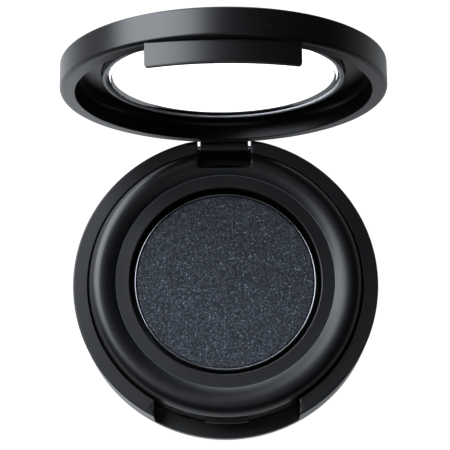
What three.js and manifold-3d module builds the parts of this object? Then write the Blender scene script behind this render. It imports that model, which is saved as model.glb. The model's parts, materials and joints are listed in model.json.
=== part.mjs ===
// Round single-pan eyeshadow compact with a flip-up window lid, in millimetres, +Z up.
// The origin is on the axis of the base, at its underside. The front faces -Y and the hinge is at +Y.
import * as THREE from 'three';
import { mergeVertices } from 'three/addons/utils/BufferGeometryUtils.js';
import Module from 'manifold-3d';

const wasm = await Module();
wasm.setup();

// Overall sizes. The pan sets the radii: well, land, raised ring and flange follow outwards.
const panRadius = 13.25;
const baseHeight = 6.8;         // underside to the flange
const closedGap = 0.1;          // between the flange and the lid's rim when closed
const stopGap = 0.328;          // between the open lid's rim and the back of the base
const swingGap = 0.08;          // between the swinging rim and the rounded top of the base's ears

// Base shell
const flangeWidth = 2.13;       // also the thickness of the side wall
const floorThickness = 1.2;
const bottomRounding = 0.8;
const flangeRounding = 0.2;

// Closing tongue, the front notch round it, and the catch
const tongueWidth = 19.4;
const tongueLength = 2.95;      // below the lid's rim
const tongueThickness = 0.55;
const tongueSideGap = 0.7;      // each side, in the notch
const tongueEndGap = 1.71;      // down to the floor of the notch
const tongueRecess = 0.8;       // behind the outside of the lid's skirt, at the middle
const tongueBend = 30;          // radius of its outer face, flatter than the skirt
const tongueRounding = 0.5;     // lower corners
const catchWidth = 6.2;
const catchHeight = 0.6;
const catchReach = 0.68;        // out from the frame's skirt
const catchDrop = 1.2;          // from the flange down to the top of the catch
const hookPass = 0.08;          // the hook goes past the catch with this gap
const hookHeight = 0.75;
const hookDrop = 0.15;          // under the catch when closed

// Inner frame
const seamGap = 0.22;           // between the flange and the frame
const frameWall = 1;
const frameLift = 0.1;          // above the floor of the base
const ringRise = 1.9;           // crest of the raised ring above the flange
const ringWidth = 4.04;         // from the seam to the land
const ringOuterShare = 0.445;   // part of the ring's width outside its crest
const landRise = 1.2;           // land above the flange
const landWidth = 1.97;
const panFit = 0.64;            // radial, between the pan and its well
const holeRounding = 0.2;
const wellFloorThickness = 0.8;

// Pan, powder and glue
const panHeight = 3.7;
const panWall = 0.3;
const panRounding = 0.5;
const panDrop = 0.72;           // from the land down to the rim of the pan
const powderFit = 0.05;         // all round, inside the pan
const powderDrop = 0.12;        // from the rim of the pan down to the powder's edge
const powderCrown = 0.06;
const powderEdge = 0.2;         // bevel round the top
const glueRadius = 9;
const glueThickness = 0.15;
const glueFit = 0.03;           // above and below the glue

// Hinge
const hingeInset = 1.365;       // from the outside of the base in to the pin
const hingeDrop = 1.18;         // from the flange down to the pin
const knuckleWidth = 7.2;
const knuckleTopGap = 0.05;     // from the knuckle up to the flange's height
const knuckleSideGap = 0.4;     // each side, in the rear notch
const rearNotchInset = 5.4;     // from the outside of the base in to the end of the notch
const rearNotchDepth = 3;       // below the flange
const rearNotchRounding = 0.5;
const neckFront = 0.45;         // from the pin's axis forwards
const pinRadius = 0.4;
const pinGrip = 1.55;           // length of pin in each ear of the base
const pinFit = 0.03;            // radial, where the base grips the pin
const pinRunning = 0.05;        // radial, where the knuckle turns on the pin
const pinEndGap = 0.15;
const pinChamfer = 0.1;

// Lid and window
const skirtWall = 2.05;
const lidPlate = 1;
const crestGap = 1.2;           // from the raised ring up to the plate when closed
const lidRounding = 0.3;
const rimRounding = 0.6;        // outside edge of the rim
const skirtFillet = 1;          // inside, between skirt and plate
const windowMargin = 1.26;      // the window's opening is this much wider than the well, all round
const windowStep = 1.5;         // width of the step that the window sits on
const windowLip = 0.4;          // thickness of that step
const windowFit = 0.15;         // radial, round the window
const windowSeatGap = 0.05;     // above and below the window's flange
const windowFlange = 0.45;      // thickness of the window's flange
const windowRingWidth = 0.5;
const windowRingProud = 0.9;    // below the lid's plate
const windowRingRounding = 0.15;
const windowRingGap = 0.1;      // radial, between the window and its ring
const windowFaceRise = 0.05;    // from the ring's face up to the window's
const windowBevelWidth = 0.5;   // round the window's face
const windowBevelHeight = 0.25;

// Label under the base
const labelRadius = 15;
const labelThickness = 0.2;
const labelFit = 0.1;           // above the label
const labelEdgeGap = 0.2;       // round the label

// Roundness and joining
const roundSides = 72;
const pinSides = 16;
const earSides = 48;
const arcSteps = 3;
const ringSteps = 7;
const cutPast = 1;              // how far a cutter runs past what it cuts
const bite = 0.3;               // how far joined solids run into each other
const weld = 1e-4;

// Sizes that follow
const holeRadius = panRadius + panFit;
const ringInnerRadius = holeRadius + landWidth;
const frameRadius = ringInnerRadius + ringWidth;
const seamRadius = frameRadius + seamGap;
const outerRadius = seamRadius + flangeWidth;
const crestRadius = frameRadius - ringWidth * ringOuterShare;
const landHeight = baseHeight + landRise;
const crestHeight = baseHeight + ringRise;
const panTop = landHeight - panDrop;
const panBottom = panTop - panHeight;
const wellFloor = panBottom - glueThickness - 2 * glueFit;
const notchWidth = tongueWidth + 2 * tongueSideGap;
const notchFloor = baseHeight + closedGap - tongueLength - tongueEndGap;
const rearNotchFloor = baseHeight - rearNotchDepth;
const rearNotchWidth = knuckleWidth + 2 * knuckleSideGap;
const catchTop = baseHeight - catchDrop;
const catchRadius = frameRadius + catchReach;
const hingeY = outerRadius - hingeInset;
const hingeZ = baseHeight - hingeDrop;
const knuckleRadius = hingeDrop - knuckleTopGap;
const pinLength = rearNotchWidth + 2 * pinGrip;
const rimHeight = baseHeight + closedGap;
const plateUnderside = crestHeight + crestGap;
const lidTop = plateUnderside + lidPlate;
const tongueRadius = outerRadius - tongueRecess;
const windowRadius = holeRadius + windowMargin;
const windowSeatRadius = windowRadius + windowStep;
const windowSeat = lidTop - windowLip;
const windowRingOutside = windowSeatRadius - windowFit;
const windowRingInside = windowRingOutside - windowRingWidth;
const windowRingLow = plateUnderside - windowRingProud;

// The lid stops where its rim, just beside the rear notch, comes up to the back of the base.
const stopReach = Math.sqrt(outerRadius ** 2 - (rearNotchWidth / 2) ** 2) - hingeY;
const rimOverHinge = rimHeight - hingeZ;
const stopFromRim = Math.acos((stopReach + stopGap) / Math.hypot(stopReach, rimOverHinge));
const openAngle = Math.atan2(rimOverHinge, stopReach) + stopFromRim;

// Lathe points are (radius, height). Each outline runs anticlockwise, which turns its faces outwards.
const point = (radius, height) => new THREE.Vector2(radius, height);

function arc(centreRadius, centreHeight, radius, fromDegrees, toDegrees, steps = arcSteps) {
  const points = [];
  for (let i = 0; i <= steps; i++) {
    const angle = THREE.MathUtils.degToRad(fromDegrees + (toDegrees - fromDegrees) * i / steps);
    points.push(point(centreRadius + radius * Math.cos(angle), centreHeight + radius * Math.sin(angle)));
  }
  return points;
}

function turned(points) {
  return toSolid(new THREE.LatheGeometry(points, roundSides).rotateX(Math.PI / 2));
}

// A ring of rectangular section
function ring(inside, outside, low, high) {
  const outline = [
    point(inside, low), point(outside, low), point(outside, high), point(inside, high), point(inside, low),
  ];
  return turned(outline);
}

function box(low, high) {
  const size = high.map((value, i) => value - low[i]);
  const centre = high.map((value, i) => (value + low[i]) / 2);
  return toSolid(new THREE.BoxGeometry(...size).translate(...centre));
}

// A round bar along X, centred on the hinge line
function hingeBar(radius, length, sides = pinSides) {
  const bar = new THREE.CylinderGeometry(radius, radius, length, sides).rotateZ(Math.PI / 2);
  return toSolid(bar.translate(0, hingeY, hingeZ));
}

// A rectangle whose two corners at its low end are rounded
function tabShape(width, low, high, rounding) {
  const half = width / 2;
  const shape = new THREE.Shape();
  shape.moveTo(half, high);
  shape.lineTo(-half, high);
  shape.lineTo(-half, low + rounding);
  shape.absarc(-half + rounding, low + rounding, rounding, Math.PI, 1.5 * Math.PI);
  shape.lineTo(half - rounding, low);
  shape.absarc(half - rounding, low + rounding, rounding, 1.5 * Math.PI, 2 * Math.PI);
  shape.closePath();
  return shape;
}

function extruded(shape, depth) {
  return new THREE.ExtrudeGeometry(shape, { depth, bevelEnabled: false, curveSegments: arcSteps });
}

function toSolid(geometry) {
  const bare = geometry.clone();
  bare.deleteAttribute('normal');
  bare.deleteAttribute('uv');
  const merged = mergeVertices(bare, weld);
  const index = merged.index.array;
  const triangles = [];
  for (let i = 0; i < index.length; i += 3) {
    const corners = [index[i], index[i + 1], index[i + 2]];
    if (new Set(corners).size === 3) triangles.push(...corners);
  }
  const mesh = new wasm.Mesh({
    numProp: 3,
    vertProperties: new Float32Array(merged.attributes.position.array),
    triVerts: new Uint32Array(triangles),
  });
  return new wasm.Manifold(mesh);
}

function toGeometry(solid) {
  const mesh = solid.getMesh();
  const geometry = new THREE.BufferGeometry();
  geometry.setAttribute('position', new THREE.BufferAttribute(new Float32Array(mesh.vertProperties), 3));
  geometry.setIndex(new THREE.BufferAttribute(new Uint32Array(mesh.triVerts), 1));
  geometry.computeVertexNormals();
  return geometry;
}

function named(name, solid, colour, roughness, metalness = 0, opacity = 1) {
  const material = new THREE.MeshStandardMaterial({
    color: colour, roughness, metalness, opacity, transparent: opacity < 1,
  });
  const mesh = new THREE.Mesh(toGeometry(solid), material);
  mesh.name = name;
  return mesh;
}

// The slot at the back of the base, as far as the notch goes in, from its floor up
function rearNotchCutter() {
  const inner = outerRadius - rearNotchInset;
  const shape = tabShape(rearNotchWidth, inner, outerRadius + cutPast, rearNotchRounding);
  const height = crestHeight + cutPast - rearNotchFloor;
  return toSolid(extruded(shape, height).translate(0, 0, rearNotchFloor));
}

// What is cut off the top back edge of the base, so that the lid's rim swings round it
function earRelief() {
  const half = outerRadius / 2;
  const corner = box(
    [-half, hingeY, hingeZ],
    [half, outerRadius + cutPast, baseHeight + cutPast],
  );
  return corner.subtract(hingeBar(rimOverHinge - swingGap, outerRadius + 2 * cutPast, earSides));
}

function baseShell() {
  const recess = labelThickness + labelFit;
  const recessRadius = labelRadius + labelEdgeGap;
  const cup = turned([
    point(0, recess),
    point(recessRadius, recess),
    point(recessRadius, 0),
    ...arc(outerRadius - bottomRounding, bottomRounding, bottomRounding, -90, 0),
    ...arc(outerRadius - flangeRounding, baseHeight - flangeRounding, flangeRounding, 0, 90),
    point(seamRadius, baseHeight),
    point(seamRadius, floorThickness),
    point(0, floorThickness),
  ]);
  const notchSpan = box(
    [-notchWidth / 2, -outerRadius - cutPast, notchFloor],
    [notchWidth / 2, 0, baseHeight + cutPast],
  );
  const wall = ring(seamRadius, outerRadius + cutPast, notchFloor, baseHeight + cutPast);
  const frontNotch = wall.intersect(notchSpan);
  const pinHole = hingeBar(pinRadius + pinFit, pinLength + 2 * pinEndGap);
  return cup.subtract(frontNotch).subtract(rearNotchCutter()).subtract(earRelief()).subtract(pinHole);
}

// Upper face of the raised ring, from the seam over the crest to the land, lowered by an inset
function ringProfile(inset) {
  const points = [];
  const outerReach = frameRadius - inset - crestRadius;
  for (let i = 0; i <= ringSteps; i++) {
    const angle = Math.PI / 2 * i / ringSteps;
    const radius = crestRadius + outerReach * Math.cos(angle);
    points.push(point(radius, baseHeight - inset + ringRise * Math.sin(angle)));
  }
  const innerReach = crestRadius - ringInnerRadius;
  for (let i = 1; i <= ringSteps; i++) {
    const share = i / ringSteps;
    const fall = (ringRise - landRise) * share * share;
    points.push(point(crestRadius - innerReach * share, crestHeight - inset - fall));
  }
  return points;
}

function catchLip() {
  const low = catchTop - catchHeight;
  const lip = turned([
    point(frameRadius - bite, low),
    point(catchRadius - catchReach / 2, low),
    point(catchRadius, low + catchHeight / 3),
    point(catchRadius, catchTop - catchHeight / 3),
    point(catchRadius - catchReach / 3, catchTop),
    point(frameRadius - bite, catchTop),
    point(frameRadius - bite, low),
  ]);
  const span = box([-catchWidth / 2, -outerRadius, 0], [catchWidth / 2, 0, baseHeight]);
  return lip.intersect(span);
}

function innerFrame() {
  const low = floorThickness + frameLift;
  const wellOutside = holeRadius + frameWall;
  const body = turned([
    point(0, wellFloor - wellFloorThickness),
    point(wellOutside, wellFloor - wellFloorThickness),
    point(wellOutside, landHeight - frameWall),
    ...ringProfile(frameWall).reverse(),
    point(frameRadius - frameWall, low),
    point(frameRadius, low),
    ...ringProfile(0),
    ...arc(holeRadius + holeRounding, landHeight - holeRounding, holeRounding, 90, 180),
    point(holeRadius, wellFloor),
    point(0, wellFloor),
  ]);
  return body.subtract(rearNotchCutter()).add(catchLip());
}

function pan() {
  const inside = panRadius - panWall;
  const insideFloor = panBottom + panWall;
  const insideRounding = panRounding - panWall;
  return turned([
    point(0, panBottom),
    ...arc(panRadius - panRounding, panBottom + panRounding, panRounding, -90, 0),
    point(panRadius, panTop),
    point(inside, panTop),
    ...arc(inside - insideRounding, insideFloor + insideRounding, insideRounding, 0, -90),
    point(0, insideFloor),
  ]);
}

function powder() {
  const radius = panRadius - panWall - powderFit;
  const low = panBottom + panWall + powderFit;
  const rounding = panRounding - panWall;
  const edge = panTop - powderDrop;
  return turned([
    point(0, low),
    ...arc(radius - rounding, low + rounding, rounding, -90, 0),
    point(radius, edge - powderEdge),
    point(radius - powderEdge, edge),
    point(radius / 2, edge + powderCrown * 0.75),
    point(0, edge + powderCrown),
  ]);
}

function disc(radius, low, thickness) {
  return turned([
    point(0, low), point(radius, low), point(radius, low + thickness), point(0, low + thickness),
  ]);
}

function hingePin() {
  const half = pinLength / 2;
  const outline = [
    point(0, -half), point(pinRadius - pinChamfer, -half), point(pinRadius, -half + pinChamfer),
    point(pinRadius, half - pinChamfer), point(pinRadius - pinChamfer, half), point(0, half),
  ];
  const bar = new THREE.LatheGeometry(outline, pinSides).rotateZ(Math.PI / 2);
  return toSolid(bar.translate(0, hingeY, hingeZ));
}

// The tongue hangs from the front of the lid's rim. Its hook sits inside, just under the catch.
function tongue() {
  const low = rimHeight - tongueLength;
  const high = rimHeight + rimRounding;
  const bend = ring(tongueBend - tongueThickness, tongueBend, low - cutPast, high);
  const plate = bend.translate([0, tongueBend - tongueRadius, 0]);
  const outline = tabShape(tongueWidth, low, high + cutPast, tongueRounding);
  const front = toSolid(extruded(outline, outerRadius).rotateX(Math.PI / 2));
  const hookTop = catchTop - catchHeight - hookDrop;
  const hookRing = ring(
    catchRadius + hookPass, tongueRadius - tongueThickness / 2, hookTop - hookHeight, hookTop,
  );
  const hookSpan = box([-catchWidth / 2, -outerRadius, 0], [catchWidth / 2, 0, baseHeight]);
  return plate.intersect(front).add(hookRing.intersect(hookSpan));
}

function knuckle() {
  const half = knuckleWidth / 2;
  const neck = box([-half, hingeY - neckFront, hingeZ], [half, hingeY + knuckleRadius, rimHeight + bite]);
  return hingeBar(knuckleRadius, knuckleWidth).add(neck);
}

function lidShell() {
  const inside = outerRadius - skirtWall;
  const shell = turned([
    point(inside, rimHeight),
    ...arc(outerRadius - rimRounding, rimHeight + rimRounding, rimRounding, -90, 0),
    ...arc(outerRadius - lidRounding, lidTop - lidRounding, lidRounding, 0, 90),
    point(windowRadius, lidTop),
    point(windowRadius, windowSeat),
    point(windowSeatRadius, windowSeat),
    point(windowSeatRadius, plateUnderside),
    ...arc(inside - skirtFillet, plateUnderside - skirtFillet, skirtFillet, 90, 0),
    point(inside, rimHeight),
  ]);
  const bore = hingeBar(pinRadius + pinRunning, knuckleWidth + 2 * cutPast);
  return shell.add(tongue()).add(knuckle()).subtract(bore);
}

// A clear plug: its face stands level with its ring, and its flange sits on the step in the lid
function windowDisc() {
  const flangeTop = windowSeat - windowSeatGap;
  const flangeLow = flangeTop - windowFlange;
  const faceLow = windowRingLow + windowFaceRise;
  const body = windowRingInside - windowRingGap;
  return turned([
    point(0, faceLow),
    point(body - windowBevelWidth, faceLow),
    point(body, faceLow + windowBevelHeight),
    point(body, flangeLow),
    point(windowRingOutside, flangeLow),
    point(windowRingOutside, flangeTop),
    point(windowRadius - windowFit, flangeTop),
    point(windowRadius - windowFit, lidTop - windowSeatGap),
    point(0, lidTop - windowSeatGap),
  ]);
}

function windowRing() {
  const top = windowSeat - 2 * windowSeatGap - windowFlange;
  const edge = windowRingRounding;
  return turned([
    point(windowRingInside, windowRingLow + edge),
    point(windowRingInside + edge, windowRingLow),
    point(windowRingOutside - edge, windowRingLow),
    point(windowRingOutside, windowRingLow + edge),
    point(windowRingOutside, top),
    point(windowRingInside, top),
    point(windowRingInside, windowRingLow + edge),
  ]);
}

const black = 0x1b1c1e;

const base = new THREE.Group();
base.add(named('base_shell', baseShell(), black, 0.42));
base.add(named('inner_frame', innerFrame(), black, 0.4));
base.add(named('pan', pan(), 0xb9bcc0, 0.3, 1));
base.add(named('powder', powder(), 0x33363b, 0.9));
base.add(named('pan_adhesive', disc(glueRadius, wellFloor + glueFit, glueThickness), 0xe6e2d6, 0.6));
base.add(named('underside_label', disc(labelRadius, 0, labelThickness), 0xd9d9d6, 0.55));
base.add(named('hinge_pin', hingePin(), 0xc4c6c9, 0.25, 1));

// The lid's pieces are drawn closed, and turn back about the hinge line
const lid = new THREE.Group();
lid.add(named('lid_shell', lidShell(), black, 0.38));
lid.add(named('window', windowDisc(), 0xf4f6f7, 0.05, 0, 0.25));
lid.add(named('window_ring', windowRing(), 0xa9abae, 0.3));
lid.position.set(0, -hingeY, -hingeZ);

const lidTurn = new THREE.Group();
lidTurn.add(lid);
lidTurn.position.set(0, hingeY, hingeZ);
lidTurn.rotation.x = -openAngle;

const compact = new THREE.Group();
compact.add(base, lidTurn);

export default compact;
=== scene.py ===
import json
import math

import bmesh
import bpy
import numpy as np
from mathutils import Matrix, Vector


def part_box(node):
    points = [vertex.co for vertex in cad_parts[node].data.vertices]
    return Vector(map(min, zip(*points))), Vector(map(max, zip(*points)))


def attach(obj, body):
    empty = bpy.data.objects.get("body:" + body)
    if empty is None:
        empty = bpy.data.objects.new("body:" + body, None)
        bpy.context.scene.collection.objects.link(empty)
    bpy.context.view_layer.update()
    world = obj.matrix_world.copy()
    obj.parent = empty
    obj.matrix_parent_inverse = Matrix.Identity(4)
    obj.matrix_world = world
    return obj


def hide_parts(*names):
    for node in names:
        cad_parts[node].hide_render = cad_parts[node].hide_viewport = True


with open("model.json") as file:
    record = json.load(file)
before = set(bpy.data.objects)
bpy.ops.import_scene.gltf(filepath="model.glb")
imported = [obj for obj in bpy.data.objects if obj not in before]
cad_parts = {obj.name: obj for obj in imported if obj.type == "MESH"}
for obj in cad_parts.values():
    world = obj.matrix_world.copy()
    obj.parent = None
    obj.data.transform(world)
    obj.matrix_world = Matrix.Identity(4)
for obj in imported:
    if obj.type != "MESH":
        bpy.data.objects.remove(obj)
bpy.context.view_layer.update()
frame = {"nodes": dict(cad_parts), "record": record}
print("frame loaded:", len(frame["nodes"]), "nodes")

mm = 0.001
joint = frame["record"]["behaviour"]["joints"][0]
hinge = np.array(joint["pos_m"]) / mm                 # a point on the hinge line, mm
openAngle = math.radians(joint["range_deg"][1])       # the lid is drawn closed, then turned back by this


def pointsOf(mesh):
    # the places of a mesh's vertices, one row each
    points = np.empty(len(mesh.vertices) * 3)
    mesh.vertices.foreach_get("co", points)
    return points.reshape(-1, 3)


def boxOf(node):
    # lowest and highest corner of a node at rest, in mm
    low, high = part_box(node)
    return np.array(low) / mm, np.array(high) / mm


def closedBoxOf(node):
    # the same for a lid node, with the lid turned shut: each vertex is turned about the hinge line
    points = turnAbout(pointsOf(frame["nodes"][node].data) / mm, openAngle)
    return points.min(axis=0), points.max(axis=0)


def turnAbout(points, angle):
    # y' = y cos a - z sin a and z' = y sin a + z cos a, measured from the hinge line
    y = points[:, 1] - hinge[1]
    z = points[:, 2] - hinge[2]
    turned = points.copy()
    turned[:, 1] = hinge[1] + y * math.cos(angle) - z * math.sin(angle)
    turned[:, 2] = hinge[2] + y * math.sin(angle) + z * math.cos(angle)
    return turned


def roundedOutline(corners, stepAngle=15):
    # each corner (radius, height, rounding) becomes the arc that touches both of its sides:
    # its centre lies on the bisector, rounding / sin(half the corner's angle) from the corner
    points = []
    count = len(corners)
    for i, (r, z, rounding) in enumerate(corners):
        here = np.array([r, z], float)
        if rounding <= 0:
            points.append(here)
            continue
        before = np.array(corners[i - 1][:2], float) - here
        after = np.array(corners[(i + 1) % count][:2], float) - here
        before /= np.linalg.norm(before)
        after /= np.linalg.norm(after)
        half = math.acos(np.clip(before @ after, -1, 1)) / 2
        bisector = before + after
        bisector /= np.linalg.norm(bisector)
        centre = here + bisector * rounding / math.sin(half)
        start = here + before * rounding / math.tan(half) - centre
        end = here + after * rounding / math.tan(half) - centre
        sweep = math.pi - 2 * half
        steps = max(2, math.ceil(math.degrees(sweep) / stepAngle))
        share = np.linspace(0, 1, steps + 1)[:, None]
        arc = (np.sin((1 - share) * sweep) * start + np.sin(share * sweep) * end) / math.sin(sweep)
        points.extend(centre + arc)
    return np.array(points)


def gridOf(x, y, z):
    # three arrays that spread over the same grid, as one grid of points
    return np.stack(np.broadcast_arrays(x, y, z), axis=2)


def latheGrid(outline, segments):
    # x = r cos t, y = r sin t, z = height, with t round the axis and r, height along the outline
    turn = np.linspace(0, 2 * math.pi, segments, endpoint=False)[:, None]
    r, z = outline[None, :, 0], outline[None, :, 1]
    return gridOf(r * np.cos(turn), r * np.sin(turn), z)


def gridFaces(rows, columns, closeRows, closeColumns):
    # the four corners of every cell of a grid, which may join up with itself either way
    i = np.arange(rows if closeRows else rows - 1)
    j = np.arange(columns if closeColumns else columns - 1)
    i, j = np.meshgrid(i, j, indexing="ij")
    nextI = (i + 1) % rows
    nextJ = (j + 1) % columns
    faces = np.stack([i * columns + j, nextI * columns + j,
                      nextI * columns + nextJ, i * columns + nextJ], axis=2)
    return faces.reshape(-1, 4)


def placed(name, data):
    # a new object in the scene that shows this mesh, light or camera
    made = bpy.data.objects.new(name, data)
    bpy.context.scene.collection.objects.link(made)
    return made


def meshFrom(name, points, faces, weld=2e-4):
    # points closer than the weld distance become one, and the faces are turned outwards
    mesh = bpy.data.meshes.new(name)
    mesh.from_pydata(points.reshape(-1, 3).tolist(), [], [list(face) for face in faces])
    work = bmesh.new()
    work.from_mesh(mesh)
    bmesh.ops.remove_doubles(work, verts=work.verts, dist=weld)
    bmesh.ops.recalc_face_normals(work, faces=work.faces)
    work.to_mesh(mesh)
    work.free()
    return placed(name, mesh)


def lathe(name, corners, segments=256, onAxis=False, stepAngle=15):
    # an outline with rounded corners, carried once round the axis
    outline = roundedOutline(corners, stepAngle)
    grid = latheGrid(outline, segments)
    return meshFrom(name, grid, gridFaces(segments, len(outline), True, not onAxis))


def prism(name, outline, low, high, axis="z"):
    # a flat outline at a low and a high place along one axis, joined straight, with a face on each end
    outline = np.array(outline, float)
    ends = np.array([low, high], float)
    flat = np.broadcast_to(outline[None, :, :], (2, len(outline), 2))
    along = np.broadcast_to(ends[:, None, None], (2, len(outline), 1))
    order = {"z": (flat[..., :1], flat[..., 1:], along), "x": (along, flat[..., :1], flat[..., 1:])}[axis]
    grid = np.concatenate(order, axis=2)
    sides = gridFaces(2, len(outline), False, True).tolist()
    first = list(range(len(outline)))[::-1]
    last = list(range(len(outline), 2 * len(outline)))
    return meshFrom(name, grid, sides + [first, last])


def bar(name, radius, halfLength, chamfer=0.0, segments=64):
    # a round bar on the hinge line: (r cos t, r sin t, h) read as y, z and x
    c = chamfer
    corners = [(0, -halfLength, 0), (radius - c, -halfLength, 0), (radius, -halfLength + c, 0),
               (radius, halfLength - c, 0), (radius - c, halfLength, 0), (0, halfLength, 0)]
    outline = np.array([corner[:2] for corner in corners])
    grid = latheGrid(outline, segments)[..., [2, 0, 1]] + [0, hinge[1], hinge[2]]
    return meshFrom(name, grid, gridFaces(segments, len(outline), True, False))


def bentSlab(name, front, back):
    # two equal grids of points, joined round their edges into one closed slab
    rows, columns = front.shape[:2]
    skin = gridFaces(rows, columns, False, False)
    count = rows * columns
    index = np.arange(count).reshape(rows, columns)
    rim = np.concatenate([index[0, :-1], index[:-1, -1], index[-1, :0:-1], index[:0:-1, 0]])
    ahead = np.roll(rim, -1)
    edge = np.stack([rim, ahead, ahead + count, rim + count], axis=1)
    points = np.concatenate([front.reshape(-1, 3), back.reshape(-1, 3)])
    return meshFrom(name, points, np.concatenate([skin, skin[:, ::-1] + count, edge]))


def bead(name, section, half, radius, steps):
    # a closed section (radius, height) carried round the axis over the front (t = -90 degrees),
    # as far to each side as asin(half / radius), with a face on each end
    reach = math.asin(half / radius)
    turn = np.linspace(-math.pi / 2 - reach, -math.pi / 2 + reach, steps)[:, None]
    r, count = section[None, :, 0], len(section)
    grid = gridOf(r * np.cos(turn), r * np.sin(turn), section[None, :, 1])
    caps = [list(range(count))[::-1], list(range((steps - 1) * count, steps * count))]
    return meshFrom(name, grid, gridFaces(steps, count, False, True).tolist() + caps)


def removePiece(piece):
    # the object goes first, then its mesh
    mesh = piece.data
    bpy.data.objects.remove(piece)
    bpy.data.meshes.remove(mesh)


def bakeModifiers(piece):
    # the shape with its modifiers on becomes the mesh
    bpy.context.view_layer.update()
    ready = piece.evaluated_get(bpy.context.evaluated_depsgraph_get())
    mesh = bpy.data.meshes.new_from_object(ready)
    old = piece.data
    piece.modifiers.clear()
    piece.data = mesh
    bpy.data.meshes.remove(old)


def cutAway(piece, cutters):
    # takes each cutter out of the piece, then removes the cutters
    for cutter in cutters:
        cut = piece.modifiers.new("cut", "BOOLEAN")
        cut.operation = "DIFFERENCE"
        cut.solver = "EXACT"
        cut.object = cutter
    bakeModifiers(piece)
    for cutter in cutters:
        removePiece(cutter)


def softenEdges(piece, width, limit=50):
    # a small round on every edge sharper than the limit
    bevel = piece.modifiers.new("soften", "BEVEL")
    bevel.width = width
    bevel.segments = 2
    bevel.limit_method = "ANGLE"
    bevel.angle_limit = math.radians(limit)
    bevel.use_clamp_overlap = True
    bakeModifiers(piece)


def joined(name, parts):
    # several closed shells as one piece
    work = bmesh.new()
    for part in parts:
        work.from_mesh(part.data)
        removePiece(part)
    mesh = bpy.data.meshes.new(name)
    work.to_mesh(mesh)
    work.free()
    return placed(name, mesh)


def finishPiece(piece, material, body, nodes, onLid=False, sharpAngle=38):
    # millimetres to metres, the lid's pieces turned open, smooth shading with even normals
    mesh = piece.data
    points = pointsOf(mesh)
    if onLid:
        points = turnAbout(points, -openAngle)
    mesh.vertices.foreach_set("co", (points * mm).ravel())
    mesh.shade_smooth()
    mesh.set_sharp_from_angle(angle=math.radians(sharpAngle))
    mesh.materials.clear()
    mesh.materials.append(material)
    mesh.update()
    even = piece.modifiers.new("even normals", "WEIGHTED_NORMAL")
    even.keep_sharp = True
    even.weight = 60
    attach(piece, body)
    if nodes:
        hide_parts(*nodes)
    print("made", piece.name, len(mesh.polygons), "faces")
    return piece


def newGroup(name, inputs, outputs):
    # an empty group, with (label, kind, value) for each input and (label, kind) for each output
    group = bpy.data.node_groups.new(name, "ShaderNodeTree")
    for label, kind, value in inputs:
        socket = group.interface.new_socket(label, in_out="INPUT", socket_type=kind)
        socket.default_value = value
    for label, kind in outputs:
        group.interface.new_socket(label, in_out="OUTPUT", socket_type=kind)
    return group, group.nodes.new("NodeGroupInput"), group.nodes.new("NodeGroupOutput")


def addNode(tree, kind, **settings):
    # a node of this kind with its settings
    node = tree.nodes.new(kind)
    for key, value in settings.items():
        setattr(node, key, value)
    return node


def give(tree, value, socket):
    # a socket is linked, and a number or colour is set
    if hasattr(value, "is_output"):
        tree.links.new(value, socket)
    else:
        socket.default_value = value


def mathNode(tree, operation, a, b=None, c=None):
    # each value is a number or a socket
    node = addNode(tree, "ShaderNodeMath", operation=operation)
    for i, value in enumerate((a, b, c)):
        if value is not None:
            give(tree, value, node.inputs[i])
    return node.outputs[0]


def noiseNode(tree, vector, scale, detail=2.0, roughness=0.5):
    # layered noise from 0 to 1, whose scale is a number or a socket
    node = addNode(tree, "ShaderNodeTexNoise")
    node.inputs["Detail"].default_value = detail
    node.inputs["Roughness"].default_value = roughness
    tree.links.new(vector, node.inputs["Vector"])
    give(tree, scale, node.inputs["Scale"])
    return node.outputs["Fac"]


def rampNode(tree, value, low, high, colours=((0, 0, 0, 1), (1, 1, 1, 1))):
    # the first colour up to low, the second from high on, and a straight blend between
    node = addNode(tree, "ShaderNodeValToRGB")
    node.color_ramp.elements[0].position = low
    node.color_ramp.elements[1].position = high
    node.color_ramp.elements[0].color = colours[0]
    node.color_ramp.elements[1].color = colours[1]
    tree.links.new(value, node.inputs[0])
    return node.outputs[0]


def grey(level):
    # one level in all three colours
    return (level, level, level, 1)


def objectPlace(tree):
    # the object's own coordinates, in metres
    return addNode(tree, "ShaderNodeTexCoord").outputs["Object"]


def stretchedPlace(tree, scale, turned=(0, 0, 0)):
    # object coordinates stretched, so that a noise read on them becomes lines
    mapping = addNode(tree, "ShaderNodeMapping")
    mapping.inputs["Scale"].default_value = scale
    mapping.inputs["Rotation"].default_value = turned
    tree.links.new(objectPlace(tree), mapping.inputs["Vector"])
    return mapping.outputs["Vector"]


def cellsNode(tree, place, scale):
    # the distance to the middle of the nearest cell, and that cell's own random colour in parts
    cells = addNode(tree, "ShaderNodeTexVoronoi")
    cells.inputs["Scale"].default_value = scale
    tree.links.new(place, cells.inputs["Vector"])
    parts = addNode(tree, "ShaderNodeSeparateColor")
    tree.links.new(cells.outputs["Color"], parts.inputs[0])
    return cells.outputs["Distance"], parts.outputs


def mixColour(tree, factor, a, b):
    # a (1 - factor) + b factor, each a number, a colour or a socket
    node = addNode(tree, "ShaderNodeMix", data_type="RGBA")
    for socket, value in ((node.inputs[0], factor), (node.inputs[6], a), (node.inputs[7], b)):
        give(tree, value, socket)
    return node.outputs[2]


grainLook = {"driftScale": 140.0, "edgeFrom": 0.16, "edgeTo": 0.34, "speckScale": 900.0,
             "speckSize": 0.11, "speckChance": 0.93}


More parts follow.
